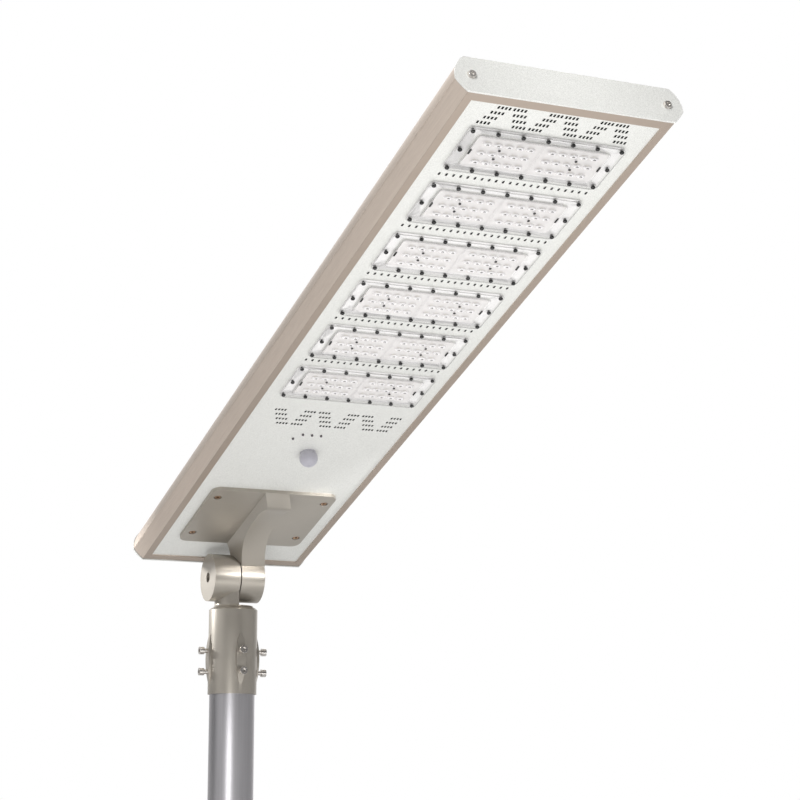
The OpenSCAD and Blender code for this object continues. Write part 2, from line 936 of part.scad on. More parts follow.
module led_lens(i) {
    color([0.92, 0.90, 0.90, 0.7])
        on_head() difference() {
            union() {
                at(0, module_s(i), flange_n) linear_extrude(flange_h) rounded(module_w, module_l, corner_r);
                at(0, module_s(i), flange_n - block_h)
                    linear_extrude(block_h + 1) rounded(block_w, block_l, 6);
            }
            at(0, module_s(i), flange_n - block_h + skin)
                linear_extrude(block_h + flange_h) rounded(block_w - 2 * skin, block_l - 2 * skin, 4);
            lens_screw_places(i) translate([0, 0, flange_n - 1]) cylinder(r = lens_screw_r + 0.1, h = 6);
        }
}

module led_board(i) {
    color([0.95, 0.95, 0.95])
        on_head() difference() {
            at(0, module_s(i), plate_n - board_t) linear_extrude(board_t - eps) rounded(board_w, board_l, 3);
            at(feed_x, module_s(i) + feed_ds, -5) cylinder(r = branch_r + part_gap, h = 10);
        }
}

module lens_gasket(i) {
    color([0.75, 0.75, 0.75])
        on_head() difference() {
            at(0, module_s(i), plate_n - gasket_h + eps)
                linear_extrude(gasket_h - 2 * eps)
                    difference() {
                        rounded(module_w - 4, module_l - 3, corner_r - 2);
                        rounded(block_w + 2, block_l + 2, 6);
                    }
            lens_screw_places(i) translate([0, 0, -5]) cylinder(r = lens_screw_r + 0.1, h = 10);
        }
}

module led_chips() {
    chip_n = plate_n - board_t;
    color([0.95, 0.88, 0.55])
        on_head() for (i = [1 : module_count], half = [-1, 1], k = [-2 : 2], row = [-1 : 1])
            translate([half * chip_half_x + k * chip_dx - chip_w / 2,
                       -module_s(i) + row * chip_ds - chip_w / 2, chip_n - chip_h])
                cube([chip_w, chip_w, chip_h - eps]);
}

module lens_screws() {
    color([0.45, 0.44, 0.43])
        on_head() for (i = [1 : module_count])
            lens_screw_places(i) {
                translate([0, 0, flange_n - lens_head_h - eps]) cylinder(r = lens_head_r, h = lens_head_h);
                translate([0, 0, flange_n - 1]) cylinder(r = lens_screw_r, h = 8 - flange_n);
            }
}

// ---------- wiring held inside the head ----------

function station(x, s, n) = [x, -s, n];

// Round wire through a list of points, with a ball at each corner
module wire(points, r) {
    for (k = [0 : len(points) - 2]) {
        way = points[k + 1] - points[k];
        translate(points[k])
            rotate([0, acos(way[2] / norm(way)), atan2(way[1], way[0])]) cylinder(r = r, h = norm(way));
    }
    for (k = [1 : len(points) - 2])
        translate(points[k]) sphere(r = r * 1.06);
}

module led_harness() {
    out_x = case_w / 2 - 24;
    turn_s = case_s + case_l + 12;
    color([0.10, 0.10, 0.10])
        on_head() {
            wire([station(out_x, case_s + case_l - 4, case_port_n),
                  station(out_x, turn_s, case_port_n),
                  station(out_x, turn_s, trunk_n),
                  station(trunk_x, turn_s, trunk_n),
                  station(trunk_x, module_s(1) + feed_ds + 4, trunk_n)], trunk_r);
            for (i = [1 : module_count]) {
                s = module_s(i) + feed_ds;
                wire([station(trunk_x, s, branch_n), station(feed_x, s, branch_n),
                      station(feed_x, s, plate_n - board_t + 0.4)], branch_r);
            }
        }
}

module battery_lead() {
    out_x = case_w / 2 - 12;
    turn_s = case_s + case_l + 26;
    in_x = tray_in_x / 2 - 12;
    color([0.65, 0.10, 0.10])
        on_head() wire([station(out_x, case_s + case_l - 4, case_port_n),
                        station(out_x, turn_s, case_port_n),
                        station(in_x, turn_s, case_port_n),
                        station(in_x, turn_s, tray_port_n),
                        station(in_x, tray_s + 3.5, tray_port_n)], lead_r);
}

module panel_lead() {
    out_x = case_w / 2 - 12;
    turn_s = jbox_s + jbox_l + 20;
    jbox_mid_n = back_n - jbox_h / 2;
    color([0.10, 0.10, 0.10])
        on_head() wire([station(out_x, jbox_s + jbox_l + eps, jbox_mid_n),
                        station(out_x, turn_s, jbox_mid_n),
                        station(out_x, turn_s, case_port_n),
                        station(out_x, case_s + 4, case_port_n)], lead_r);
}

pole_section();
pole_sleeve();
set_screws();
pivot_bolt();
pivot_nut();
pivot_washer();
friction_disc();
tilt_arm();
bracket_screws();
backing_plate();
bottom_plate();
left_rail();
right_rail();
front_channel();
rear_channel();
front_cap();
rear_cap();
front_gasket();
rear_gasket();
cap_screws();
solar_glass();
solar_cells();
solar_backsheet();
panel_seal();
panel_junction_box();
battery_tray();
battery_lid();
battery_cells();
battery_board();
controller_case();
controller_lid();
controller_board();
motion_dome();
motion_sensor();
sensor_board();
indicator_lenses();
receiver_window();
led_chips();
lens_screws();
led_harness();
panel_lead();
battery_lead();
for (i = [1 : module_count]) {
    led_lens(i);
    led_board(i);
    lens_gasket(i);
}
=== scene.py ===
"""Looks of an all-in-one solar street lamp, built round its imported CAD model.

Head axes are used for everything on the lamp head: x across, y against the reach, z up from the underside.
"""

import json
import math

import bmesh
import bpy
from mathutils import Matrix, Vector

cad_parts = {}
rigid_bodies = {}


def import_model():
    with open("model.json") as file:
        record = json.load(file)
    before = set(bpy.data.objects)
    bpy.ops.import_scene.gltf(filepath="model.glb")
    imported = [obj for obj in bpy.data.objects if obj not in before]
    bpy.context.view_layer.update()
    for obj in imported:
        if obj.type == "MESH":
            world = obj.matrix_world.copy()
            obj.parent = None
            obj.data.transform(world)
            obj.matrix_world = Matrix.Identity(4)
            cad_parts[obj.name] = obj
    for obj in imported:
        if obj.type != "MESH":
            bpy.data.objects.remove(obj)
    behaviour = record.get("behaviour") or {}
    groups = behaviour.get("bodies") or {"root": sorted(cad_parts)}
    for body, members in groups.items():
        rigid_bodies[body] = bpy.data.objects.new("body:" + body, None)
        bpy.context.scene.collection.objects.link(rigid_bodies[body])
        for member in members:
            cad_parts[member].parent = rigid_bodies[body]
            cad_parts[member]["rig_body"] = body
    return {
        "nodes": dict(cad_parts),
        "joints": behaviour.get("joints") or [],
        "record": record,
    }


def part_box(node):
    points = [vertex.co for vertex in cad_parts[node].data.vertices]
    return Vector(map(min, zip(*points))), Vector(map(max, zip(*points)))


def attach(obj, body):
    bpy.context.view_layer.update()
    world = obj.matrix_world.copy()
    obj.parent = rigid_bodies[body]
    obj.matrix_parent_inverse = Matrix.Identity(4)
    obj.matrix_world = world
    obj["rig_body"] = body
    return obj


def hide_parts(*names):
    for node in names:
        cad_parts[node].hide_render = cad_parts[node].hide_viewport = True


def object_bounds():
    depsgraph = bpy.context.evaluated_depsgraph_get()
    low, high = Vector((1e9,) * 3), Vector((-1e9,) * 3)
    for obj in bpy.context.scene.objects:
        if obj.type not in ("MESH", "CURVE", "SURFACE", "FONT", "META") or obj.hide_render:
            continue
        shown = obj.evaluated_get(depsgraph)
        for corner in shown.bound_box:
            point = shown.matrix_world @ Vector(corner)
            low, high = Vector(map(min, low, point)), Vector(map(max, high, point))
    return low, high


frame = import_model()
cad_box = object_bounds()

MM = 0.001
MODULES = range(1, 7)


# ---------- axes, worked out from the frame ----------

def centre(node):
    low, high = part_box(node)
    return (low + high) / 2


def box_in(axes, node):
    """Lowest and highest corner of a CAD node, measured along other axes."""
    back = axes.inverted()
    points = [back @ v.co for v in frame["nodes"][node].data.vertices]
    low = Vector([min(p[k] for p in points) for k in range(3)])
    high = Vector([max(p[k] for p in points) for k in range(3)])
    return low, high


tilt_joint = next(j for j in frame["joints"] if j["name"] == "head_tilt")
HUB = Vector(tilt_joint["pos_m"])
reach = centre("led_lens_1") - centre("led_lens_6")
TILT = math.atan2(reach.z, -reach.y)
HUB_AXES = Matrix.Translation(HUB) @ Matrix.Rotation(-TILT, 4, "X")
DROP = box_in(HUB_AXES, "left_rail")[0].z
HEAD = HUB_AXES @ Matrix.Translation((0, 0, DROP))


# ---------- node trees ----------

def new_material(name, metallic=0.0, roughness=0.5, **sockets):
    """A node material; sockets are constants of the Principled shader, with _ for a space in their names."""
    made = bpy.data.materials.new(name)
    made.use_nodes = True
    shader = made.node_tree.nodes["Principled BSDF"]
    shader.inputs["Metallic"].default_value = metallic
    shader.inputs["Roughness"].default_value = roughness
    for socket, value in sockets.items():
        shader.inputs[socket.replace("_", " ")].default_value = value
    return made, made.node_tree, shader


def link(tree, source, target):
    tree.links.new(source, target)


def math_node(tree, operation, a, b=None, clamp=False):
    made = tree.nodes.new("ShaderNodeMath")
    made.operation = operation
    made.use_clamp = clamp
    for socket, value in zip(made.inputs, (a, b)):
        if isinstance(value, (int, float)):
            socket.default_value = value
        elif value is not None:
            link(tree, value, socket)
    return made.outputs[0]


def place(tree, stretch=(1, 1, 1), on_head=False):
    """Position on the piece in metres, in the frame's axes or the head's, each axis times its stretch."""
    coordinates = tree.nodes.new("ShaderNodeTexCoord")
    mapping = tree.nodes.new("ShaderNodeMapping")
    if on_head:
        mapping.inputs["Rotation"].default_value = (TILT, 0, 0)
        mapping.inputs["Location"].default_value = HEAD.inverted().translation
    link(tree, coordinates.outputs["Object"], mapping.inputs["Vector"])
    scaled = tree.nodes.new("ShaderNodeVectorMath")
    scaled.operation = "MULTIPLY"
    scaled.inputs[1].default_value = stretch
    link(tree, mapping.outputs[0], scaled.inputs[0])
    return scaled.outputs[0]


def noise(tree, where, scale, detail=2.0, roughness=0.5):
    """Noise from 0 to 1; scale is in features per metre."""
    made = tree.nodes.new("ShaderNodeTexNoise")
    made.inputs["Scale"].default_value = scale
    made.inputs["Detail"].default_value = detail
    made.inputs["Roughness"].default_value = roughness
    link(tree, where, made.inputs["Vector"])
    return made.outputs["Fac"]


def grains(tree, where, scale):
    """A random value for each grain; scale is in grains per metre."""
    made = tree.nodes.new("ShaderNodeTexVoronoi")
    made.inputs["Scale"].default_value = scale
    link(tree, where, made.inputs["Vector"])
    split = tree.nodes.new("ShaderNodeSeparateColor")
    link(tree, made.outputs["Color"], split.inputs[0])
    return split.outputs[0]


def spread(tree, value, low, high, start=0.0, end=1.0):
    """Maps value from start..end to low..high, clamped."""
    made = tree.nodes.new("ShaderNodeMapRange")
    for socket, number in zip(("From Min", "From Max", "To Min", "To Max"), (start, end, low, high)):
        made.inputs[socket].default_value = number
    link(tree, value, made.inputs["Value"])
    return made.outputs[0]


def blend_colors(tree, factor, first, second):
    made = tree.nodes.new("ShaderNodeMix")
    made.data_type = "RGBA"
    link(tree, factor, made.inputs["Factor"])
    for socket, color in ((made.inputs[6], first), (made.inputs[7], second)):
        if isinstance(color, tuple):
            socket.default_value = (*color, 1)
        else:
            link(tree, color, socket)
    return made.outputs[2]


def relief(tree, shader, height, depth, strength=1.0):
    made = tree.nodes.new("ShaderNodeBump")
    made.inputs["Strength"].default_value = strength
    made.inputs["Distance"].default_value = depth
    link(tree, height, made.inputs["Height"])
    link(tree, made.outputs[0], shader.inputs["Normal"])


def split_axes(tree, where):
    made = tree.nodes.new("ShaderNodeSeparateXYZ")
    link(tree, where, made.inputs[0])
    return made.outputs


def stripe(tree, value, pitch, width, offset=0.0):
    """1 on stripes of that width, every pitch along value, else 0. All in metres."""
    turns = math_node(tree, "DIVIDE", math_node(tree, "ADD", value, offset), pitch)
    from_line = math_node(tree, "ABSOLUTE", math_node(tree, "SUBTRACT", math_node(tree, "FRACT", turns), 0.5))
    return math_node(tree, "LESS_THAN", from_line, width / pitch / 2)


def shade_inside(tree, color, height):
    """Painted shade: near-black further into the head than that height, for the inside of a hole or a socket.
    """
    inside = math_node(tree, "GREATER_THAN", split_axes(tree, place(tree, (1, 1, 1), True))[2], height)
    return blend_colors(tree, inside, color, (0.02, 0.02, 0.02))


# ---------- materials ----------

def cast_alloy():
    """Satin casting: bead-blasted grain, slow tone changes, slightly rougher in patches."""
    made, tree, shader = new_material("cast_alloy", metallic=0.65)
    where = place(tree)
    tone = noise(tree, where, 9, 3)
    grain = noise(tree, where, 1500, 2, 0.7)
    color = blend_colors(tree, tone, (0.365, 0.335, 0.292), (0.41, 0.378, 0.332))
    color = blend_colors(tree, spread(tree, grain, 0.0, 0.25, 0.35, 0.75), color, (0.47, 0.436, 0.388))
    link(tree, color, shader.inputs["Base Color"])
    link(tree, spread(tree, noise(tree, where, 40, 3), 0.32, 0.42), shader.inputs["Roughness"])
    relief(tree, shader, grain, 0.00006, 0.35)
    return made


def blasted_plate(name, light, dark, metallic=0.25, skin=None):
    """Fine-blasted anodised sheet: a sparkle of grains under a millimetre across, with painted shade deeper
    than skin.
    """
    made, tree, shader = new_material(name, metallic=metallic)
    where = place(tree)
    fine = grains(tree, where, 1700)
    coarse = noise(tree, where, 600, 2)
    color = blend_colors(tree, spread(tree, fine, 0, 1, 0.15, 0.85), dark, light)
    color = blend_colors(tree, spread(tree, noise(tree, where, 5, 2), 0, 0.25), color, dark)
    if skin is not None:
        color = shade_inside(tree, color, skin)
    link(tree, color, shader.inputs["Base Color"])
    link(tree, spread(tree, coarse, 0.38, 0.58), shader.inputs["Roughness"])
    relief(tree, shader, fine, 0.00004, 0.25)
    return made


def brushed(name, light, dark, rough, on_head=False, along=(1, 1, 1), metallic=0.8, fineness=1400, painted_lip_shade=None):
    """Metal drawn or brushed one way, along small on the strokes' axis; the lip colour, if given, is painted
    shade on the faces at the head's underside.
    """
    made, tree, shader = new_material(name, metallic=metallic)
    strokes = noise(tree, place(tree, along, on_head), fineness, 3, 0.65)
    cloud = noise(tree, place(tree, (1, 1, 1), on_head), 12, 2)
    color = blend_colors(tree, spread(tree, strokes, 0, 1, 0.3, 0.7), dark, light)
    color = blend_colors(tree, spread(tree, cloud, 0, 0.3), color, dark)
    # Painted shade: a darker brown on the faces lower than LIP_SKIN, at the head's underside
    if painted_lip_shade is not None:
        height = split_axes(tree, place(tree, (1, 1, 1), True))[2]
        color = blend_colors(tree, math_node(tree, "LESS_THAN", height, LIP_SKIN), color, painted_lip_shade)
    link(tree, color, shader.inputs["Base Color"])
    link(tree, spread(tree, strokes, rough - 0.06, rough + 0.08), shader.inputs["Roughness"])
    relief(tree, shader, strokes, 0.00003, 0.2)
    return made


def turned_metal(name, light, dark, rough, metallic=1.0, socket_from=None):
    """Small machined fasteners: fine scratches and a little tarnish, with painted shade in a socket from that
    height.
    """
    made, tree, shader = new_material(name, metallic=metallic)
    where = place(tree)
    tarnish = noise(tree, where, 160, 4, 0.6)
    scratch = noise(tree, place(tree, (1, 1, 0.08)), 3000, 2, 0.7)
    color = blend_colors(tree, spread(tree, tarnish, 0, 1, 0.35, 0.7), light, dark)
    if socket_from is not None:
        color = shade_inside(tree, color, socket_from)
    link(tree, color, shader.inputs["Base Color"])
    link(tree, spread(tree, tarnish, rough, rough + 0.15), shader.inputs["Roughness"])
    relief(tree, shader, scratch, 0.00002, 0.2)
    return made


def moulded(name, light, dark, rough=0.4, grain=900, depth=0.00003, **sockets):
    """Plain moulded plastic or rubber: faint mottling and a fine surface texture."""
    made, tree, shader = new_material(name, roughness=rough, **sockets)
    where = place(tree)
    texture = noise(tree, where, grain, 2)
    link(tree, blend_colors(tree, noise(tree, where, 30, 3), dark, light), shader.inputs["Base Color"])
    link(tree, spread(tree, texture, rough - 0.05, rough + 0.08), shader.inputs["Roughness"])
    relief(tree, shader, texture, depth, 0.3)
    return made


def clear_plastic(name, light, dark, alpha, rough=0.08):
    """Clear moulded plastic with faint flow marks, seen as a light film over what is behind it."""
    made, tree, shader = new_material(name, roughness=rough, IOR=1.5, Alpha=alpha)
    flow = noise(tree, place(tree, (1, 0.3, 1), True), 60, 3)
    link(tree, blend_colors(tree, flow, dark, light), shader.inputs["Base Color"])
    link(tree, spread(tree, flow, rough, rough + 0.1), shader.inputs["Roughness"])
    return made


def solar_cell():
    """Blue-black silicon with silver fingers and busbars, in head axes."""
    made, tree, shader = new_material("silicon", roughness=0.25, Coat_Weight=0.4, Coat_Roughness=0.05)
    where = place(tree, (1, 1, 1), True)
    across, along, _ = split_axes(tree, where)
    crystal = noise(tree, where, 25, 2)
    silicon = blend_colors(tree, crystal, (0.008, 0.012, 0.035), (0.016, 0.026, 0.075))
    fingers = stripe(tree, along, FINGER_PITCH, FINGER_W)
    busbars = stripe(tree, across, BUSBAR_PITCH, BUSBAR_W)
    color = blend_colors(tree, fingers, silicon, (0.10, 0.12, 0.18))
    color = blend_colors(tree, busbars, color, (0.62, 0.63, 0.65))
    link(tree, color, shader.inputs["Base Color"])
    link(tree, spread(tree, busbars, 0.22, 0.35), shader.inputs["Roughness"])
    return made


def striped_board(name, mask, track, pitch):
    """Circuit board: solder mask with slightly raised tracks showing through."""
    made, tree, shader = new_material(name, roughness=0.35)
    where = place(tree, (1, 1, 1), True)
    across, _, _ = split_axes(tree, where)
    wander = math_node(tree, "MULTIPLY", noise(tree, where, 60, 1), 4 * pitch)
    tracks = stripe(tree, math_node(tree, "ADD", across, wander), pitch, pitch * 0.4)
    color = blend_colors(tree, tracks, mask, track)
    color = blend_colors(tree, spread(tree, noise(tree, where, 20, 2), 0, 0.2), color, mask)
    link(tree, color, shader.inputs["Base Color"])
    relief(tree, shader, tracks, 0.00004, 0.4)
    return made


# Height in the head below which the rails get painted shade
LIP_SKIN = 0.3 * MM
FINGER_PITCH = 1.8 * MM
FINGER_W = 0.25 * MM
BUSBAR_PITCH = 26 * MM
BUSBAR_W = 1.4 * MM
# Height in the head past which the bottom plate gets painted shade, inside its holes
HOLE_SKIN = box_in(HEAD, "bottom_plate")[0].z + 0.12 * MM
# Height in the head past which the bracket screws get painted shade, in their sockets
BRACKET_SOCKET = box_in(HEAD, "bracket_screws")[0].z + 0.5 * MM

LOOKS = {
    "cast_alloy": cast_alloy(),
    "plate_alloy": blasted_plate("plate_alloy", (0.86, 0.86, 0.83), (0.66, 0.66, 0.63)),
    "rail_alloy": brushed("rail_alloy", (0.63, 0.54, 0.465), (0.53, 0.45, 0.385), 0.40, on_head=True,
                          along=(1, 0.015, 1), metallic=0.55, painted_lip_shade=(0.40, 0.33, 0.275)),
    "pole_steel": brushed("pole_steel", (0.47, 0.46, 0.475), (0.42, 0.41, 0.425), 0.38,
                          along=(1, 1, 0.01), metallic=1.0, fineness=500),
    "stainless": turned_metal("stainless", (0.76, 0.73, 0.70), (0.55, 0.51, 0.47), 0.16),
    "warm_steel": turned_metal("warm_steel", (0.52, 0.33, 0.21), (0.30, 0.18, 0.11), 0.25,
                               socket_from=BRACKET_SOCKET),
    "dark_steel": turned_metal("dark_steel", (0.07, 0.07, 0.07), (0.03, 0.03, 0.03), 0.18, metallic=0.7),
    "friction_pad": moulded("friction_pad", (0.20, 0.20, 0.21), (0.13, 0.13, 0.13), 0.8, 700, depth=0.0001),
    "seal_rubber": moulded("seal_rubber", (0.10, 0.10, 0.10), (0.06, 0.06, 0.06), 0.7, 1100),
    "white_gasket": moulded("white_gasket", (0.90, 0.89, 0.88), (0.82, 0.81, 0.80), 0.6),
    "white_film": moulded("white_film", (0.88, 0.88, 0.88), (0.80, 0.80, 0.80), 0.5, 300),
    "black_plastic": moulded("black_plastic", (0.07, 0.07, 0.075), (0.045, 0.045, 0.05), 0.5, 1300,
                             depth=0.00006),
    "tray_alloy": brushed("tray_alloy", (0.80, 0.80, 0.80), (0.66, 0.66, 0.66), 0.35, on_head=True,
                          along=(0.02, 1, 1), metallic=0.9),
    "cell_sleeve": moulded("cell_sleeve", (0.10, 0.30, 0.58), (0.07, 0.22, 0.46), 0.3, 200),
    "circuit_board": striped_board("circuit_board", (0.05, 0.24, 0.11), (0.09, 0.36, 0.18), 2.2 * MM),
    "led_board": striped_board("led_board", (0.93, 0.92, 0.91), (0.86, 0.85, 0.84), 5 * MM),
    "led_phosphor": moulded("led_phosphor", (0.96, 0.88, 0.52), (0.90, 0.76, 0.36), 0.3),
    "silicon": solar_cell(),
    "panel_glass": clear_plastic("panel_glass", (0.85, 0.90, 0.95), (0.75, 0.82, 0.90), 0.10, 0.02),
    "clear_lens": clear_plastic("clear_lens", (0.95, 0.925, 0.915), (0.90, 0.87, 0.86), 0.42),
    "dome_plastic": moulded("dome_plastic", (0.53, 0.52, 0.57), (0.42, 0.41, 0.46), 0.28, 300),
    "dark_lens": moulded("dark_lens", (0.12, 0.10, 0.11), (0.05, 0.04, 0.05), 0.12, 400, Coat_Weight=0.5),
    "wire": moulded("wire", (0.06, 0.06, 0.06), (0.03, 0.03, 0.03), 0.4),
    "wire_red": moulded("wire_red", (0.58, 0.07, 0.06), (0.42, 0.05, 0.04), 0.4),
}
# The bottom plate's look, with painted shade inside its holes
PERFORATED_PLATE = blasted_plate("perforated_plate", (0.86, 0.86, 0.83), (0.66, 0.66, 0.63), 0.25, HOLE_SKIN)
COVER_WALL = clear_plastic("cover_wall", (0.90, 0.88, 0.88), (0.80, 0.78, 0.78), 0.10)
# Painted shade: a darker grey for the ledge of each lens cover on the hub's side of its block
COVER_SHADE = clear_plastic("cover_shade", (0.46, 0.45, 0.445), (0.36, 0.35, 0.345), 0.30)
COVER_EDGE = clear_plastic("cover_edge", (0.34, 0.33, 0.33), (0.26, 0.25, 0.25), 0.5)
# Painted highlights: the lenses' lobes near-white and almost opaque
PAINTED_HIGHLIGHT_DOME = clear_plastic("painted_highlight_dome", (1.0, 0.98, 0.98), (0.94, 0.92, 0.92), 0.85)
# Painted shade: a dark eye at each lens's middle, where the clear lens looks dark
PAINTED_SHADE_EYE = moulded("painted_shade_eye", (0.16, 0.15, 0.15), (0.09, 0.085, 0.085), 0.25)


# ---------- pieces ----------

SMOOTH_TURN = math.cos(math.radians(50))


def finish_piece(name, mesh_data, body, slot_name, looks=None, stands_for=(), axes=None, crease=35):
    """Makes an object of a bmesh given in those axes, shades it, and has it ride on a body."""
    bmesh.ops.recalc_face_normals(mesh_data, faces=mesh_data.faces)
    mesh = bpy.data.meshes.new(name)
    mesh_data.to_mesh(mesh)
    mesh_data.free()
    if axes is not None:
        mesh.transform(axes)
    mesh.shade_smooth()
    mesh.set_sharp_from_angle(angle=math.radians(crease))
    for look in looks or [LOOKS[slot_name]]:
        mesh.materials.append(look)
    piece = bpy.data.objects.new(name, mesh)
    bpy.context.scene.collection.objects.link(piece)
    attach(piece, body)
    if stands_for:
        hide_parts(*stands_for)
    return piece


def loft(shape, loops, looks=(0,), close_ends=True):
    """Skins a list of loops that have the same number of points; looks repeat over the bands between them."""
    rings = [[shape.verts.new(point) for point in loop] for loop in loops]
    count = len(rings[0])
    for band, (near, far) in enumerate(zip(rings, rings[1:])):
        for k in range(count):
            face = shape.faces.new((near[k], near[(k + 1) % count], far[(k + 1) % count], far[k]))
            face.material_index = looks[band % len(looks)]
    if close_ends:
        shape.faces.new(rings[0]).material_index = looks[0]
        shape.faces.new(rings[-1]).material_index = looks[-1]
    return rings


def round_corners(half_x, half_y, radius, height, centre_y=0.0, steps=5):
    """Points of a rectangle with round corners, anticlockwise."""
    points = []
    for quarter, (side_x, side_y) in enumerate(((1, 1), (-1, 1), (-1, -1), (1, -1))):
        for k in range(steps + 1):
            turn = math.radians(90) * (quarter + k / steps)
            x = side_x * (half_x - radius) + radius * math.cos(turn)
            y = side_y * (half_y - radius) + radius * math.sin(turn)
            points.append(Vector((x, y + centre_y, height)))
    return points


def ring(radius, height, steps, shape=None):
    """A closed ring of points; shape(turn) scales the radius."""
    points = []
    for k in range(steps):
        turn = 2 * math.pi * k / steps
        r = radius * (shape(turn) if shape else 1)
        points.append(Vector((r * math.cos(turn), r * math.sin(turn), height)))
    return points


def cross(turn):
    """Radius of a cross recess over that of its arms."""
    return 0.42 + 0.58 * max(0.0, math.cos(4 * turn)) ** 2


def move(points, offset):
    return [point + offset for point in points]


def weigh_normals(piece):
    """Shades flat faces flat and leaves the turn to the rounded edges."""
    mesh = piece.data
    sums = [Vector() for _ in mesh.vertices]
    for face in mesh.polygons:
        for v in face.vertices:
            sums[v] += face.normal * face.area
    corners = [None] * len(mesh.loops)
    for face in mesh.polygons:
        for k in face.loop_indices:
            whole = sums[mesh.loops[k].vertex_index].normalized()
            corners[k] = whole if whole.dot(face.normal) > SMOOTH_TURN else face.normal.copy()
    mesh.normals_split_custom_set(corners)


WELD = 0.002 * MM
FLAT_TURN = math.radians(0.4)
EDGE_TURN = math.radians(30)


def softened(node, width, slot_name):
    """The CAD node with its edges rounded, as a piece that stands for it."""
    shape = bmesh.new()
    shape.from_mesh(frame["nodes"][node].data)
    bmesh.ops.remove_doubles(shape, verts=shape.verts, dist=WELD)
    bmesh.ops.dissolve_limit(shape, angle_limit=FLAT_TURN, verts=shape.verts, edges=shape.edges)
    edges = [e for e in shape.edges if len(e.link_faces) == 2 and e.calc_face_angle(0) > EDGE_TURN]
    bmesh.ops.bevel(shape, geom=edges, offset=width, offset_type="OFFSET", segments=2,
                    profile=0.5, affect="EDGES", clamp_overlap=True)
    body = frame["nodes"][node]["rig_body"]
    piece = finish_piece(node + "_soft", shape, body, slot_name, stands_for=(node,))
    weigh_normals(piece)
    return piece


def dress(node, look):
    """Gives a CAD node that stays its material."""
    slots = frame["nodes"][node].data.materials
    slots.clear()
    slots.append(look)


for row in frame["record"]["subparts"]:
    dress(row["node"], LOOKS[row["material_slot"]])
dress("bottom_plate", PERFORATED_PLATE)

for node, millimetres, slot_name in (
    ("pole_sleeve", 0.8, "cast_alloy"),
    ("tilt_arm", 1.6, "cast_alloy"),
    ("set_screws", 0.5, "stainless"),
    ("pivot_bolt", 0.5, "dark_steel"),
    ("cap_screws", 0.3, "stainless"),
    ("bracket_screws", 0.3, "warm_steel"),
    ("front_cap", 0.5, "plate_alloy"),
    ("rear_cap", 0.5, "plate_alloy"),
):
    softened(node, millimetres * MM, slot_name)


# ---------- lens covers ----------

FACE, WALL, DOME, EYE, LINE, SHADE = range(6)   # looks of a cover's faces; DOME is near-white as painted highlights, EYE and SHADE are painted shade
FLANGE_H = 3 * MM
CORNER_R = 10 * MM
EDGE = 0.5 * MM
RIM_W = 1.5 * MM
RIM_STEP = 1.2 * MM
BLOCK_MARGIN_X = 4 * MM
BLOCK_MARGIN_Y = 2.5 * MM
BLOCK_R = 6 * MM
FOOT_W = 1.2 * MM
WALL_SLOPE = 1.2 * MM
COVER_SKIN = 1.6 * MM
LEVEL = 0.1 * MM
RIDGE_W = 5 * MM
RIDGE_R = 0.8 * MM
RIDGE_STEPS = (-0.2 * MM, 0.4 * MM, 0.6 * MM)
LENS_STEPS = 20
LENS_SHARES = (1.0, 0.92, 0.74, 0.54, 0.36)
LENS_LONG = 6.2 * MM
LENS_WIDE = 4.3 * MM
LENS_H = 2.2 * MM
LENS_PITCH_X = 15 * MM
LENS_PITCH_Y = 19 * MM
LENS_HALF_X = 45 * MM


def peanut_lens(shape, spot):
    """One LED's lens: two lobes across the head, near-white as painted highlights, with a dark eye of painted
    shade between them.
    """
    loops = []
    for share in LENS_SHARES:
        loop = []
        for k in range(LENS_STEPS):
            turn = 2 * math.pi * k / LENS_STEPS
            waist = 0.80 + 0.20 * abs(math.cos(turn)) ** 1.5
            x = LENS_LONG * share * math.cos(turn) * waist
            y = LENS_WIDE * share * math.sin(turn) * waist
            dip = 0.45 * math.exp(-((x / (0.30 * LENS_LONG)) ** 2))
            height = LENS_H * math.sqrt(max(0.0, 1 - share ** 2.4)) * (1 - dip)
            loop.append(spot + Vector((x, y, -height)))
        loops.append(loop)
    rings = loft(shape, loops, (DOME,), close_ends=False)
    shape.faces.new(rings[0]).material_index = DOME
    shape.faces.new(rings[-1]).material_index = EYE


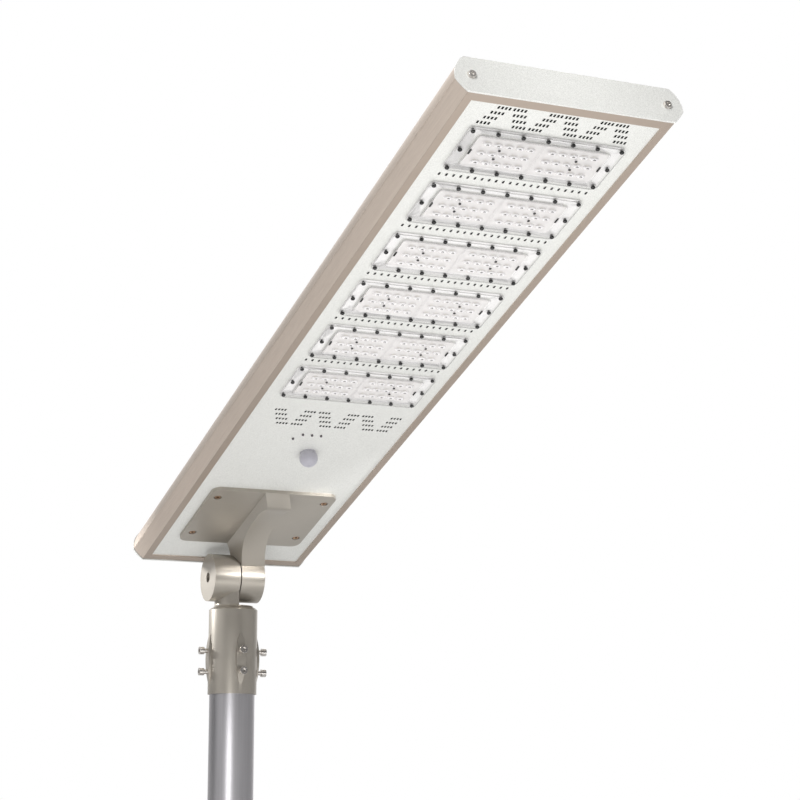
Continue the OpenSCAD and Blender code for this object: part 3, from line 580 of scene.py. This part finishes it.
def lens_cover(number):
    """Moulded cover: rim, screw ledge, sloping walls, clear face with thirty lenses, hollow behind."""
    node = f"led_lens_{number}"
    low, high = box_in(HEAD, node)
    middle = (low.y + high.y) / 2
    half_x = high.x
    half_y = (high.y - low.y) / 2
    back = box_in(HEAD, f"lens_gasket_{number}")[0].z
    board_low, board_high = box_in(HEAD, f"led_board_{number}")
    ledge = back - FLANGE_H
    face = low.z
    block_x = board_high.x + BLOCK_MARGIN_X
    block_y = (board_high.y - board_low.y) / 2 + BLOCK_MARGIN_Y
    shape = bmesh.new()

    def loop(inset_x, inset_y, radius, height):
        return round_corners(half_x - inset_x, half_y - inset_y, radius, height, middle)

    def block(grow, radius, height):
        return round_corners(block_x + grow, block_y + grow, radius, height, middle)

    outside = [
        loop(EDGE, EDGE, CORNER_R - EDGE, back),
        loop(0, 0, CORNER_R, back - EDGE),
        loop(0, 0, CORNER_R, ledge - RIM_STEP + EDGE),
        loop(EDGE, EDGE, CORNER_R - EDGE, ledge - RIM_STEP),
        loop(RIM_W, RIM_W, CORNER_R - RIM_W, ledge - RIM_STEP),
        loop(RIM_W + EDGE, RIM_W + EDGE, CORNER_R - RIM_W - EDGE, ledge),
        block(FOOT_W, BLOCK_R, ledge),
        block(FOOT_W / 3, BLOCK_R - EDGE, ledge - EDGE),
        block(EDGE - WALL_SLOPE, BLOCK_R - 3 * EDGE, face + EDGE),
        block(-WALL_SLOPE, BLOCK_R - 4 * EDGE, face),
    ]
    inside = [
        block(-WALL_SLOPE - COVER_SKIN, BLOCK_R - 5 * EDGE, face + COVER_SKIN),
        block(-COVER_SKIN, BLOCK_R - 4 * EDGE, ledge + COVER_SKIN),
        block(-COVER_SKIN, BLOCK_R - 4 * EDGE, back),
    ]
    rings = loft(shape, outside, (WALL, WALL, LINE, WALL, LINE, WALL, LINE, WALL, WALL), close_ends=False)
    # Painted shade: the ledge faces on the hub's side of the block take the darker SHADE look
    for panel in shape.faces:
        spot = panel.calc_center_median()
        if abs(spot.z - ledge) < LEVEL and spot.y > middle + block_y:
            panel.material_index = SHADE
    shape.faces.new(rings[-1]).material_index = FACE
    inner = loft(shape, inside, (WALL,), close_ends=False)
    shape.faces.new(inner[0]).material_index = FACE
    count = len(inner[-1])
    for k in range(count):
        after = (k + 1) % count
        shape.faces.new((inner[-1][k], inner[-1][after], rings[0][after], rings[0][k])).material_index = WALL
    for side in (-1, 1):
        for column in range(-2, 3):
            for row in (-1, 0, 1):
                spot = Vector((side * LENS_HALF_X + column * LENS_PITCH_X, middle + row * LENS_PITCH_Y, face))
                peanut_lens(shape, spot)
    ridge = [round_corners(RIDGE_W / 2 - step, block_y - 2 * step, RIDGE_R, face - step, middle)
             for step in RIDGE_STEPS]
    loft(shape, ridge, (WALL,))
    looks = [LOOKS["clear_lens"], COVER_WALL, PAINTED_HIGHLIGHT_DOME, PAINTED_SHADE_EYE, COVER_EDGE, COVER_SHADE]
    return finish_piece(f"lens_cover_{number}", shape, "head", "clear_lens", looks, (node,), HEAD)


for number in MODULES:
    lens_cover(number)


# ---------- screws of the lens covers ----------

SCREW_SPAN_X = 208 * MM
SCREW_ROW_Y = 39.5 * MM
SCREW_COLUMNS = 7
SCREW_STEPS = 24
SCREW_HEAD = 2.6 * MM
SCREW_R = 3 * MM
SHANK_R = 1.7 * MM
SHANK_L = 6 * MM
MARK_X = 54 * MM
MARK_Y = 9 * MM
MARK_HEAD = 1.1 * MM
MARK_R = 1.9 * MM
MARK_SHANK_R = 1.0 * MM
MARK_SHANK_L = 5 * MM
SLOT_X = 91 * MM
# Half width, half length, corner radius and height of each loop of a slot mark, in millimetres
SLOT_LOOPS = ((1.3, 5.2, 1.2, 0), (1.3, 5.2, 1.2, -0.9), (0.8, 4.6, 0.7, -1.3))


def pan_screw(shape, spot, radius, height, shank_r, shank_l):
    """Pan head with a cross recess, its top towards -z, and its shank behind."""
    profile = (
        (shank_r, shank_l), (shank_r, 0), (radius, 0), (radius, -0.45 * height),
        (0.9 * radius, -0.75 * height), (0.68 * radius, -0.95 * height), (0.58 * radius, -height),
    )
    recess = ((0.5 * radius, -height), (0.36 * radius, -0.35 * height))
    outline = [ring(r, z, SCREW_STEPS) for r, z in profile]
    outline += [ring(r, z, SCREW_STEPS, cross) for r, z in recess]
    loft(shape, [move(points, spot) for points in outline])


def cover_screws():
    """Sixteen screws round each cover and four small ones on its board, as one piece."""
    shape = bmesh.new()
    head_top = box_in(HEAD, "lens_screws")[0].z
    for number in MODULES:
        low, high = box_in(HEAD, f"led_lens_{number}")
        middle = (low.y + high.y) / 2
        spots = [(SCREW_SPAN_X * (k / (SCREW_COLUMNS - 1) - 0.5), side * SCREW_ROW_Y)
                 for k in range(SCREW_COLUMNS) for side in (-1, 1)]
        spots += [(side * SCREW_SPAN_X / 2, 0) for side in (-1, 1)]
        for x, y in spots:
            spot = Vector((x, middle + y, head_top + SCREW_HEAD))
            pan_screw(shape, spot, SCREW_R, SCREW_HEAD, SHANK_R, SHANK_L)
        for side_x in (-1, 1):
            for side_y in (-1, 1):
                spot = Vector((side_x * MARK_X, middle + side_y * MARK_Y, low.z))
                pan_screw(shape, spot, MARK_R, MARK_HEAD, MARK_SHANK_R, MARK_SHANK_L)
            spot = Vector((side_x * SLOT_X, middle, low.z))
            slot_points = [round_corners(*(size * MM for size in sizes)) for sizes in SLOT_LOOPS]
            loft(shape, [move(points, spot) for points in slot_points])
    finish_piece("cover_screws", shape, "head", "dark_steel", stands_for=("lens_screws",), axes=HEAD)


cover_screws()


# ---------- motion sensor dome ----------

DOME_R = 14.5 * MM
DOME_NECK_R = 12 * MM
DOME_FLANGE_H = 1.5 * MM
DOME_STEPS = 24
DOME_RINGS = (-34, -20, -6, 8, 22, 36, 50, 63, 75, 85)   # degrees below the ball's middle
DOME_FIRST_LENS = 4
DOME_GROOVE = 0.35 * MM
DOME_BULGE = 0.18 * MM
DOME_CREASE = 8


def sensor_dome():
    """Most of a ball, moulded as rings of small flat lenses, on its neck."""
    low, high = box_in(HEAD, "motion_dome")
    spot = Vector(((low.x + high.x) / 2, (low.y + high.y) / 2, 0))
    middle = low.z + DOME_R
    turns = [math.radians(turn) for turn in DOME_RINGS]
    shape = bmesh.new()
    flange_r = high.x - spot.x
    flange_low = high.z - DOME_FLANGE_H
    profile = [(flange_r, high.z), (flange_r, flange_low), (DOME_NECK_R, flange_low)]
    profile += [(DOME_R * math.cos(turn), middle - DOME_R * math.sin(turn)) for turn in turns]
    rings = loft(shape, [move(ring(r, z, DOME_STEPS), spot) for r, z in profile])
    cap = {v for points in rings[DOME_FIRST_LENS:] for v in points}
    facets = [f for f in shape.faces if all(v in cap for v in f.verts)]
    bmesh.ops.recalc_face_normals(shape, faces=shape.faces)
    bmesh.ops.inset_individual(shape, faces=facets, thickness=DOME_GROOVE, depth=DOME_BULGE)
    finish_piece("sensor_dome", shape, "head", "dome_plastic", stands_for=("motion_dome",), axes=HEAD,
                 crease=DOME_CREASE)


sensor_dome()


# ---------- camera and floor ----------

# The camera fitted to the photo; its lens is in millimetres
CAMERA_AT = Vector((-1.1648, -3.3280, 0.1077))
CAMERA_BEARING = math.radians(23.88)
CAMERA_PITCH = math.radians(11.21)
CAMERA_LENS = 93.4
FLOOR_HALF = 9.0


def towards(bearing, elevation):
    """Unit vector at a bearing clockwise from +Y seen from above, and an elevation, both in radians."""
    flat = math.cos(elevation)
    return Vector((math.sin(bearing) * flat, math.cos(bearing) * flat, math.sin(elevation)))


def make_camera():
    lens = bpy.data.cameras.new("camera")
    lens.lens = CAMERA_LENS
    camera = bpy.data.objects.new("camera", lens)
    bpy.context.scene.collection.objects.link(camera)
    camera.location = CAMERA_AT
    camera.rotation_mode = "QUATERNION"
    camera.rotation_quaternion = towards(CAMERA_BEARING, CAMERA_PITCH).to_track_quat("-Z", "Y")
    bpy.context.scene.camera = camera


def make_floor():
    shape = bmesh.new()
    bmesh.ops.create_grid(shape, x_segments=8, y_segments=8, size=FLOOR_HALF)
    mesh = bpy.data.meshes.new("floor")
    shape.to_mesh(mesh)
    shape.free()
    made, tree, shader = new_material("floor_paint", roughness=0.7)
    tone = noise(tree, place(tree), 1.5, 2)
    link(tree, blend_colors(tree, tone, (0.80, 0.80, 0.80), (0.84, 0.84, 0.84)), shader.inputs["Base Color"])
    mesh.materials.append(made)
    floor = bpy.data.objects.new("floor", mesh)
    floor.location.z = cad_box[0].z
    bpy.context.scene.collection.objects.link(floor)
    return floor


# ---------- lights ----------

def area_light(name, spot, aim, width, height, watts):
    data = bpy.data.lights.new(name, "AREA")
    data.shape = "RECTANGLE"
    data.size = width
    data.size_y = height
    data.energy = watts
    light = bpy.data.objects.new(name, data)
    light.location = spot
    light.rotation_mode = "QUATERNION"
    light.rotation_quaternion = (Vector(aim) - Vector(spot)).to_track_quat("-Z", "Y")
    light.visible_camera = False
    bpy.context.scene.collection.objects.link(light)
    return light


SPOT_BLEND = 0.6
STUDIO_LEVEL = 0.05
# Patches of the surroundings: bearing from the camera's, elevation, inner and outer half angle in degrees,
# and how much light they add or take away
STUDIO_PATCHES = (
    (-18, 15, 30, 76, 1.75),
    (90, 10, 15, 55, 0.5),
    (-115, 40, 20, 50, 1.3),
    (-62, 2, 15, 52, -1.0),
    (180, 62, 15, 45, 0.9),
)
# Upward panels on the floor under the head, invisible to the camera: share of the reach, and watts
GLOW_LIFT = 20 * MM
GLOW_W = 1.2
GLOW_L = 0.6
FLOOR_GLOWS = ((0.5, 0.3), (0.9, 6.1))


def spare_floor(light):
    """Keeps a light's bright patch off the floor."""
    spared = bpy.data.collections.new(light.name + "_spared")
    spared.objects.link(floor)
    spared.collection_objects[0].light_linking.link_state = "EXCLUDE"
    light.light_linking.receiver_collection = spared


def strip_box(name, bearing, away, aim, width, height, watts):
    """A softbox facing aim from a bearing measured from the camera's, at the same height."""
    spot = aim + towards(CAMERA_BEARING + math.radians(bearing), 0) * away
    spare_floor(area_light(name, spot, aim, width, height, watts))


def spot_light(name, bearing, away, rise, aim, cone, radius, watts):
    """A spotlight aimed from a bearing measured from the camera's, rise above aim, that spares the floor."""
    data = bpy.data.lights.new(name, "SPOT")
    data.spot_size = math.radians(cone)
    data.spot_blend = SPOT_BLEND
    data.shadow_soft_size = radius
    data.energy = watts
    light = bpy.data.objects.new(name, data)
    light.location = aim + towards(CAMERA_BEARING + math.radians(bearing), 0) * away + Vector((0, 0, rise))
    light.rotation_mode = "QUATERNION"
    light.rotation_quaternion = (aim - light.location).to_track_quat("-Z", "Y")
    light.visible_camera = False
    bpy.context.scene.collection.objects.link(light)
    spare_floor(light)


def above_pole(height):
    """Point at that height over the pole's foot."""
    return Vector((HUB.x, HUB.y, height))


def make_studio():
    """Near-white surroundings for the camera, and soft bright patches on a grey level for the lighting."""
    world = bpy.data.worlds.new("studio")
    world.use_nodes = True
    bpy.context.scene.world = world
    tree = world.node_tree
    tree.nodes.clear()
    direction = tree.nodes.new("ShaderNodeTexCoord").outputs["Generated"]
    total = None
    for bearing, elevation, inner, outer, gain in STUDIO_PATCHES:
        dot = tree.nodes.new("ShaderNodeVectorMath")
        dot.operation = "DOT_PRODUCT"
        dot.inputs[1].default_value = towards(CAMERA_BEARING + math.radians(bearing), math.radians(elevation))
        link(tree, direction, dot.inputs[0])
        soft = tree.nodes.new("ShaderNodeMapRange")
        soft.interpolation_type = "SMOOTHSTEP"
        soft.inputs["From Min"].default_value = math.cos(math.radians(outer))
        soft.inputs["From Max"].default_value = math.cos(math.radians(inner))
        soft.inputs["To Max"].default_value = gain
        link(tree, dot.outputs["Value"], soft.inputs["Value"])
        total = math_node(tree, "ADD", soft.outputs[0], STUDIO_LEVEL if total is None else total)
    total = math_node(tree, "MAXIMUM", total, 0.0)
    surroundings = tree.nodes.new("ShaderNodeBackground")
    link(tree, total, surroundings.inputs["Strength"])
    backdrop = tree.nodes.new("ShaderNodeBackground")
    backdrop.inputs["Color"].default_value = (1, 1, 1, 1)
    rays = tree.nodes.new("ShaderNodeLightPath")
    choice = tree.nodes.new("ShaderNodeMixShader")
    link(tree, rays.outputs["Is Camera Ray"], choice.inputs[0])
    link(tree, surroundings.outputs[0], choice.inputs[1])
    link(tree, backdrop.outputs[0], choice.inputs[2])
    output = tree.nodes.new("ShaderNodeOutputWorld")
    link(tree, choice.outputs[0], output.inputs["Surface"])


make_camera()
floor = make_floor()
make_studio()
for share, watts in FLOOR_GLOWS:
    over = HEAD @ Vector((0, share * box_in(HEAD, "bottom_plate")[0].y, 0))
    area_light(f"floor_glow_{share}", (over.x, over.y, GLOW_LIFT), over, GLOW_W, GLOW_L, watts)
strip_box("pole_strip", bearing=186, away=0.5, aim=above_pole(0.16), width=0.15, height=0.26, watts=0.75)
spot_light("sleeve_spot", bearing=-77, away=1.2, rise=0.30, aim=above_pole(0.475),
           cone=12, radius=0.08, watts=68)
spot_light("knuckle_spot", bearing=132, away=0.9, rise=0.175, aim=above_pole(HUB.z + 0.055),
           cone=8, radius=0.04, watts=48)
spot_light("cap_spot", bearing=-160, away=2.0, rise=0.9, aim=centre("front_cap"),
           cone=14, radius=0.25, watts=270)
bpy.context.scene.view_settings.view_transform = "Standard"
